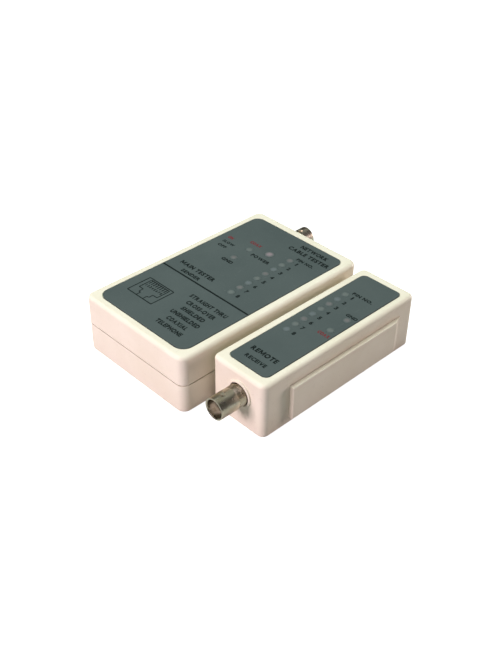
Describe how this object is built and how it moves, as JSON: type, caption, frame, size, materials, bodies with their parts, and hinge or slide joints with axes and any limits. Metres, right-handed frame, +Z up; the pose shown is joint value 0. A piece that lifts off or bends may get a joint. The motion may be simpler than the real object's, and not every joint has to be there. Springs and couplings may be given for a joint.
{
  "type": "network cable tester",
  "caption": "Handheld tester for network and coaxial cables: a flat main unit and a slim remote unit, each with a bayonet coaxial socket, a modular jack and a row of lamps.",
  "frame": {"origin": "centre of the main unit's underside, on the surface it rests on", "axes": "+Z up, +X from the main unit towards the remote unit, +Y towards the main unit's sockets"},
  "size_m": [0.098, 0.1169, 0.0277],
  "materials": {
    "case_plastic": "satin moulded, warm ivory",
    "overlay": "fine matt film, grey-green",
    "lamp_lens": "frosted",
    "nickel": "bright nickel plate",
    "insulator": "white, waxy",
    "gold": "thin gold plate",
    "black_plastic": "moulded",
    "board": "solder mask",
    "battery_wrap": "printed jacket",
    "steel": "zinc plate",
    "red_wire": "wire insulation",
    "black_wire": "wire insulation"
  },
  "bodies": {
    "main": {"main_battery": "battery_wrap", "main_battery_snap": "black_plastic", "main_bnc_contact": "gold", "main_bnc_housing": "black_plastic", "main_bnc_insulator": "insulator", "main_bnc_shell": "nickel", "main_case_bottom": "case_plastic", "main_case_screw_1": "steel", "main_case_screw_2": "steel", "main_case_screw_3": "steel", "main_case_screw_4": "steel", "main_case_top": "case_plastic", "main_circuit_board": "board", "main_controller_chip": "black_plastic", "main_label": "overlay", "main_lead_black": "black_wire", "main_lead_red": "red_wire", "main_led_1": "lamp_lens", "main_led_2": "lamp_lens", "main_led_3": "lamp_lens", "main_led_4": "lamp_lens", "main_led_5": "lamp_lens", "main_led_6": "lamp_lens", "main_led_7": "lamp_lens", "main_led_8": "lamp_lens", "main_led_coax": "lamp_lens", "main_led_gnd": "lamp_lens", "main_led_power": "lamp_lens", "main_rj45_contacts": "gold", "main_rj45_housing": "black_plastic", "main_switch_body": "steel"},
    "power_knob": {"main_switch_knob": "black_plastic"},
    "battery_door": {"main_battery_door": "case_plastic"},
    "remote": {"remote_bnc_contact": "gold", "remote_bnc_housing": "black_plastic", "remote_bnc_insulator": "insulator", "remote_bnc_shell": "nickel", "remote_bottom_cover": "case_plastic", "remote_case": "case_plastic", "remote_case_screw_1": "steel", "remote_case_screw_2": "steel", "remote_circuit_board": "board", "remote_label": "overlay", "remote_led_1": "lamp_lens", "remote_led_2": "lamp_lens", "remote_led_3": "lamp_lens", "remote_led_4": "lamp_lens", "remote_led_5": "lamp_lens", "remote_led_6": "lamp_lens", "remote_led_7": "lamp_lens", "remote_led_8": "lamp_lens", "remote_led_coax": "lamp_lens", "remote_led_gnd": "lamp_lens", "remote_rj45_contacts": "gold", "remote_rj45_housing": "black_plastic"}
  },
  "joints": [
    {"name": "remote_slide_away", "type": "slide", "parent": "main", "child": "remote", "axis": [1, 0, 0], "range_m": [0, 0.08]},
    {"name": "power_switch_slide", "type": "slide", "parent": "main", "child": "power_knob", "axis": [0, 1, 0], "range_m": [-0.0025, 0.0025]},
    {"name": "battery_door_slide", "type": "slide", "parent": "main", "child": "battery_door", "axis": [-1, 0, 0], "range_m": [0, 0.05]}
  ]
}
